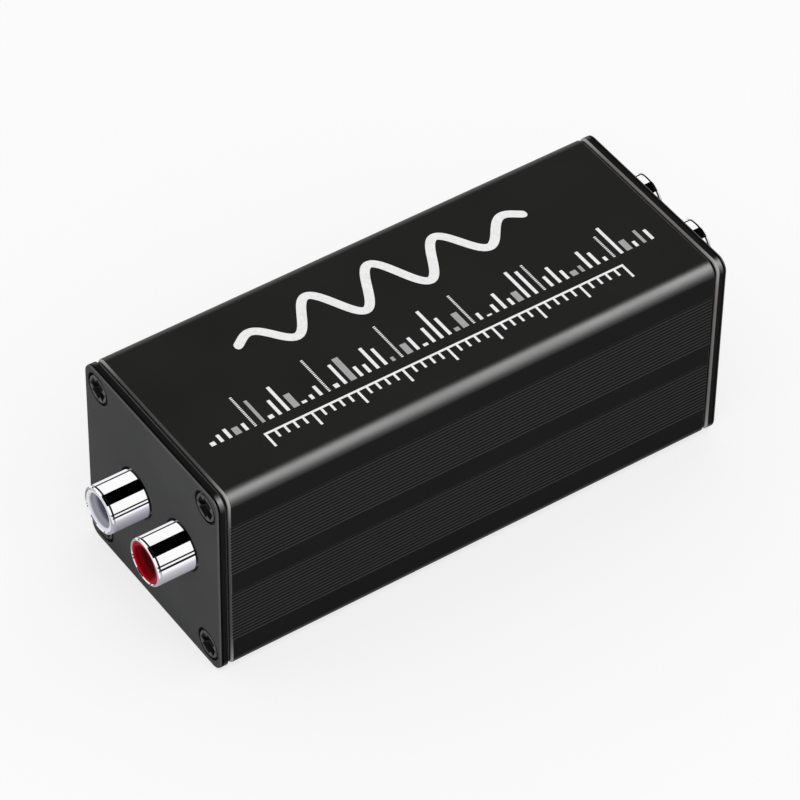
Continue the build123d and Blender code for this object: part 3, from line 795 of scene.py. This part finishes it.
def inkSlabs(boxes):
    # each box (x0, x1, y0, y1) becomes a thin slab on the top face
    low, high = caseHeight - ink["sink"], caseHeight + ink["thickness"]
    boxes = np.asarray(boxes, float)
    x, y = boxes[:, [0, 1, 1, 0]], boxes[:, [2, 2, 3, 3]]
    rings = [np.stack((x, y, np.full_like(x, level)), axis=-1) for level in (low, high)]
    points = np.concatenate(rings, axis=1).reshape(-1, 3)
    cell = np.array(((0, 1, 2, 3), (4, 5, 6, 7), (0, 1, 5, 4), (1, 2, 6, 5), (2, 3, 7, 6), (3, 0, 4, 7)))
    faces = (np.arange(len(boxes))[:, None, None] * 8 + cell[None]).reshape(-1, 4)
    return points, faces.tolist()


def levelBars(sizes):
    # heights: two slow waves multiplied, plus a quick one; some bars are wide and grey, some tall and dashed
    s, k = sizes, np.arange(sizes["count"])
    (slow, slowStart), (slower, slowerStart) = s["slowWave"], s["slowerWave"]
    swell = np.abs(np.sin(slow * k + slowStart) * np.cos(slower * k + slowerStart))**s["waveSharpness"]
    swell = swell + s["quickShare"] * np.abs(np.sin(s["quickWave"] * k))**2
    heights = s["shortest"] + (s["tallest"] - s["shortest"]) * swell / swell.max()
    middles = (k - (s["count"] - 1) / 2) * s["pitch"]
    base, step = s["baseline"], s["dash"] + s["dashGap"]
    white, grey = [], []
    for number, (middle, height) in enumerate(zip(middles, heights)):
        wide, dashed, tinted = (number % s[kind][0] == s[kind][1] for kind in ("wide", "dashed", "tinted"))
        if wide:
            half = s["wideWidth"] / 2
            grey.append((middle - half, middle + half, base, base + s["wideShare"] * height + s["wideMore"]))
        elif dashed:
            half = s["thinWidth"] / 2
            tall = s["dashedLeast"] + s["dashedMore"] * abs(math.sin(s["dashedWave"] * number))
            for place in base + np.arange(int(tall / step)) * step:
                white.append((middle - half, middle + half, place, place + s["dash"]))
        else:
            half = s["width"] / 2 * (s["stubWiden"] if height < s["stub"] else 1)
            (grey if tinted else white).append((middle - half, middle + half, base, base + height))
    return white, grey


def scaleBoxes(sizes):
    # a long line, and ticks that hang from it with every fifth one longer
    half, stroke, line = sizes["halfLength"], sizes["stroke"], sizes["line"]
    boxes = [(-half - stroke / 2, half + stroke / 2, line - stroke, line)]
    for number, x in enumerate(np.arange(-half, half + 0.01, sizes["step"])):
        tick = sizes["longTick"] if number % sizes["longEvery"] == 0 else sizes["shortTick"]
        boxes.append((x - stroke / 2, x + stroke / 2, line - stroke - tick, line - stroke - sizes["gap"]))
    return boxes


def makeWave(sizes):
    # ribbon of even stroke along a sine whose height swells to the middle, with round ends
    t, length = np.linspace(0, 1, sizes["steps"]), sizes["end"] - sizes["start"]
    x = sizes["start"] + t * length
    swell = np.sin(math.pi * t)**sizes["swell"]
    y = sizes["middle"] + sizes["height"] * swell * np.sin(fullTurn * sizes["periods"] * t)
    slope = np.stack((np.gradient(x), np.gradient(y)), axis=1)
    slope /= np.linalg.norm(slope, axis=1)[:, None]
    side = np.stack((-slope[:, 1], slope[:, 0]), axis=1)
    end = np.clip(np.minimum(t, 1 - t) * length / (sizes["stroke"] / 2), 0, 1)
    half = sizes["stroke"] / 2 * np.sqrt(1 - (1 - end)**2) + sizes["tipHalf"]
    share = np.array((-1, -1, 1, 1))
    level = np.array((-ink["sink"], ink["thickness"], ink["thickness"], -ink["sink"]))
    across = np.stack((x, y), axis=1)[:, None] + (half[:, None] * share)[..., None] * side[:, None]
    rise = np.broadcast_to(caseHeight + level[None, :, None], (*across.shape[:2], 1))
    grid = np.concatenate((across, rise), axis=-1)
    faces = gridQuads(sizes["steps"], 4)
    last = 4 * (sizes["steps"] - 1)
    faces += [[0, 1, 2, 3], [last, last + 1, last + 2, last + 3]]
    return makePiece("waveMark", grid.reshape(-1, 3), faces)


whiteInk = inkMaterial("whiteInk", (0.93, 0.93, 0.93))
greyInk = inkMaterial("greyInk", (0.40, 0.40, 0.40))
whiteBars, greyBars = levelBars(bars)
placePiece(makePiece("levelBars", *inkSlabs(whiteBars)), whiteInk, "top_print")
placePiece(makePiece("greyBars", *inkSlabs(greyBars)), greyInk, "top_print")
placePiece(makePiece("levelScale", *inkSlabs(scaleBoxes(scale))), whiteInk, "top_print")
placePiece(makeWave(wave), whiteInk, "top_print")
print("print ready")


# Inner pieces keep their solids and get their finishes here

def stripedMaterial(name, light, dark, pitch, axis, metallic, roughness):
    # thin even lines across one axis: wire turns or laminations
    material, tree, shader = newMaterial(name, light, metallic, roughness)
    along = math2(tree, "FRACT", math2(tree, "DIVIDE", objectAxes(tree)[axis], pitch * mm))
    ridge = math2(tree, "ABSOLUTE", math2(tree, "SUBTRACT", along, 0.5))
    gap = remap(tree, ridge, 0, 1, 0.3, 0.5, smooth=True)
    dress(tree, shader, mixColor(tree, gap, light, dark),
          remap(tree, noise(tree, 1200, 3), roughness - 0.06, roughness + 0.1))
    addBump(tree, shader, math2(tree, "SUBTRACT", 1.0, ridge), 0.5, 0.1 * mm)
    return material


def boardMaterial():
    # green resist over copper tracks, which show as paler lines
    material, tree, shader = newMaterial("boardLaminate", (0.012, 0.11, 0.035), 0, 0.35)
    tracks = tree.nodes.new("ShaderNodeTexBrick")
    tracks.inputs["Scale"].default_value = 180
    tracks.inputs["Mortar Size"].default_value = 0.09
    tree.links.new(objectPoint(tree), tracks.inputs["Vector"])
    colors = {"Color1": (0.010, 0.10, 0.030), "Color2": (0.012, 0.12, 0.036), "Mortar": (0.03, 0.24, 0.07)}
    for name, color in colors.items():
        tracks.inputs[name].default_value = (*color, 1)
    dress(tree, shader, tracks.outputs["Color"])
    addBump(tree, shader, tracks.outputs["Fac"], 0.3, 0.03 * mm)
    return material


# how a node's name ends, and the finish of such nodes
innerFinishes = {
    ("housing",): plasticMaterial("housingPlastic", (0.018, 0.018, 0.018), 0.5, 0.0, 1500),
    ("contact", "terminal", "pins"): stripedMaterial(
        "contactTinned", (0.72, 0.70, 0.64), (0.60, 0.58, 0.52), 0.35, "X", 1.0, 0.28),
    ("core_e", "core_i"): stripedMaterial(
        "coreSteel", (0.34, 0.34, 0.36), (0.06, 0.06, 0.065), 0.5, "X", 0.9, 0.4),
    ("winding",): stripedMaterial(
        "windingCopper", (0.66, 0.22, 0.07), (0.20, 0.05, 0.015), 0.22, "Z", 0.9, 0.25),
    ("tape",): plasticMaterial("tapeYellow", (0.72, 0.50, 0.05), 0.3, 0.3, 900),
    ("bobbin",): plasticMaterial("bobbinNylon", (0.74, 0.70, 0.60), 0.45, 0.0, 1500),
    ("clamp",): stripedMaterial("clampSteel", (0.62, 0.62, 0.62), (0.52, 0.52, 0.52), 0.3, "X", 1.0, 0.32),
    ("board",): boardMaterial(),
}
for name, node in nodes.items():
    for endings, finish in innerFinishes.items():
        if name.endswith(endings):
            for holder in node.material_slots:
                holder.material = finish
print("inner finishes ready")


# Stage: pale floor, soft light, and cards that only mirrored rays see

stage = dict(floorColor=(0.95, 0.95, 0.95), floorSize=8.0, floorGlow=0.7, floorLevel=-0.00002, worldFill=0.75)
keyBox = dict(aim=(-0.15, -0.45, 0.88), distance=3.0, size=(2.5, 2.5), watts=24.0)
darkCards = {"overheadCard": ((-0.9, -0.39, 0.52), (0.9, 0.143, 0.52)),
             "frontCard": ((-0.9, -0.8, 0.040), (0.9, -0.8, 0.145)),
             "backCard": ((-2.5, 2.4, -0.01), (2.5, 2.4, 0.5))}
edgeBox = dict(aim=(0.41, -0.465, 0.786), distance=0.45, size=(0.5, 0.36), watts=3.4)
lipCard = dict(low=(-0.12, -0.03), high=(-0.05, 0.07), tone=0.42)
floorCard = dict(
    low=(-0.05, -0.19), high=(0.5, 0.06), level=0.0006,
    tones=((-0.184, 1.0), (-0.176, 0.01), (-0.080, 0.01), (-0.073, 1.0), (-0.05, 1.0), (-0.03, 0.55),
           (-0.008, 0.30), (0.003, 0.23), (0.016, 0.13), (0.030, 0.05), (0.040, 0.9)),
    tint=(0.98, 0.96, 1.08))


def makeStagePlane(name, corners, material):
    mesh = bpy.data.meshes.new(name)
    mesh.from_pydata([tuple(corner) for corner in corners], [], [(0, 1, 2, 3)])
    mesh.materials.append(material)
    plane = bpy.data.objects.new(name, mesh)
    bpy.context.scene.collection.objects.link(plane)
    return plane


def makeCard(name, corners, material):
    # only mirrored rays see it
    card = makeStagePlane(name, corners, material)
    card.visible_camera = card.visible_diffuse = card.visible_shadow = card.visible_transmission = False


def levelCorners(low, high, z):
    (x0, y0), (x1, y1) = low, high
    return [(x0, y0, z), (x1, y0, z), (x1, y1, z), (x0, y1, z)]


def cardMaterial(name, glow):
    material, tree, shader = newMaterial(name, (0.0, 0.0, 0.0), 0, 1.0, 0.0)
    shader.inputs["Emission Strength"].default_value = glow
    return material, tree, shader


def seenRay(tree):
    # 1 for what the camera sees directly, in a mirror or through glass
    path = tree.nodes.new("ShaderNodeLightPath")
    mirrored = math2(tree, "MAXIMUM", path.outputs["Is Glossy Ray"], path.outputs["Is Transmission Ray"])
    return math2(tree, "MAXIMUM", path.outputs["Is Camera Ray"], mirrored)


def makeFloor():
    # matt white; most of what is seen of it is even white, and the rest keeps the shadow
    material, tree, shader = newMaterial("paleFloor", stage["floorColor"], 0, 0.9, 0.0)
    glow = tree.nodes.new("ShaderNodeEmission")
    mix = tree.nodes.new("ShaderNodeMixShader")
    tree.links.new(remap(tree, seenRay(tree), 0, stage["floorGlow"]), mix.inputs["Fac"])
    tree.links.new(shader.outputs[0], mix.inputs[1])
    tree.links.new(glow.outputs[0], mix.inputs[2])
    tree.links.new(mix.outputs[0], tree.nodes["Material Output"].inputs["Surface"])
    half = stage["floorSize"] / 2
    makeStagePlane("floor", levelCorners((-half, -half), (half, half), stage["floorLevel"]), material)


def makeDarkCards():
    material = cardMaterial("darkCard", 0.0)[0]
    for name, ((x0, y0, z0), (x1, y1, z1)) in darkCards.items():
        makeCard(name, [(x0, y0, z0), (x1, y0, z0), (x1, y1, z1), (x0, y1, z1)], material)


def makeFloorCards():
    # the tones that the barrels' undersides and lips mirror: a dark strip in front, darker towards the back
    material, tree, shader = cardMaterial("floorCard", 1.0)
    y0, y1 = floorCard["low"][1], floorCard["high"][1]
    ramp = tree.nodes.new("ShaderNodeValToRGB")
    tree.links.new(remap(tree, objectAxes(tree)["Y"], 0, 1, y0, y1), ramp.inputs["Fac"])
    steps = ramp.color_ramp.elements
    while len(steps) < len(floorCard["tones"]):
        steps.new(0.5)
    for step, (y, tone) in zip(steps, floorCard["tones"]):
        step.position = (y - y0) / (y1 - y0)
        step.color = (*[min(1.0, tone * tint) for tint in floorCard["tint"]], 1)
    tree.links.new(ramp.outputs["Color"], shader.inputs["Emission Color"])
    makeCard("floorCard", levelCorners(floorCard["low"], floorCard["high"], floorCard["level"]), material)
    material, tree, shader = cardMaterial("lipCard", 1.0)
    shader.inputs["Emission Color"].default_value = (*darker(floorCard["tint"], lipCard["tone"]), 1)
    makeCard("lipCard", levelCorners(lipCard["low"], lipCard["high"], floorCard["level"]), material)


def hangLamp(name, place):
    # soft box that looks at the object's middle from the aim's direction
    lamp = bpy.data.lights.new(name, "AREA")
    lamp.shape = "RECTANGLE"
    lamp.size, lamp.size_y = place["size"]
    lamp.energy = place["watts"]
    holder = bpy.data.objects.new(name, lamp)
    bpy.context.scene.collection.objects.link(holder)
    direction = Vector(place["aim"]).normalized()
    holder.location = Vector((0, 0, midHeight * mm)) + direction * place["distance"]
    holder.rotation_euler = direction.to_track_quat("Z", "Y").to_euler()
    holder.visible_camera = False
    return holder


def makeLamps():
    hangLamp("keyLamp", keyBox).visible_glossy = False
    # the worn edges of case and plates mirror this box, and the chrome beside them doesn't
    edgeLamp = hangLamp("edgeLamp", edgeBox)
    edgeLamp.visible_diffuse = False
    mirroring = bpy.data.collections.new("mirroringEdges")
    for piece in satinPieces:
        mirroring.objects.link(piece)
    edgeLamp.light_linking.receiver_collection = mirroring


def makeWorld():
    world = bpy.data.worlds.new("studio")
    world.use_nodes = True
    tree = world.node_tree
    background = tree.nodes["Background"]
    background.inputs["Color"].default_value = (1, 1, 1, 1)
    tree.links.new(remap(tree, seenRay(tree), stage["worldFill"], 1.0), background.inputs["Strength"])
    bpy.context.scene.world = world


makeFloor()
makeDarkCards()
makeFloorCards()
makeLamps()
makeWorld()
for piece in (*satinPieces, *socketPieces, *nodes.values()):
    piece.visible_glossy = False
print("stage ready")


# Camera at the photograph's angle

camera = dict(
    azimuth=-35.12, elevation=44.85, roll=0.93, lens=217.64, sensor=36, nearest=0.01,
    distance=0.775640, slideRight=-0.0012874, slideUp=-0.0006696)


def makeCamera():
    # out from the object's middle by azimuth and elevation, rolled, and slid to the photograph's frame
    a, e, roll = (math.radians(camera[name]) for name in ("azimuth", "elevation", "roll"))
    back = Vector((math.sin(a) * math.cos(e), -math.cos(a) * math.cos(e), math.sin(e)))
    level = Vector((math.cos(a), math.sin(a), 0))
    above = back.cross(level)
    right = level * math.cos(roll) + above * math.sin(roll)
    up = above * math.cos(roll) - level * math.sin(roll)
    data = bpy.data.cameras.new("camera")
    data.lens = camera["lens"]
    data.sensor_width = camera["sensor"]
    data.clip_start = camera["nearest"]
    view = bpy.data.objects.new("camera", data)
    bpy.context.scene.collection.objects.link(view)
    place = Vector((0, 0, midHeight * mm)) + back * camera["distance"]
    place += right * camera["slideRight"] + up * camera["slideUp"]
    turn = Matrix((right, up, back)).transposed()
    view.matrix_world = Matrix.Translation(place) @ turn.to_4x4()
    bpy.context.scene.camera = view


makeCamera()
bpy.context.scene.view_settings.view_transform = "Standard"
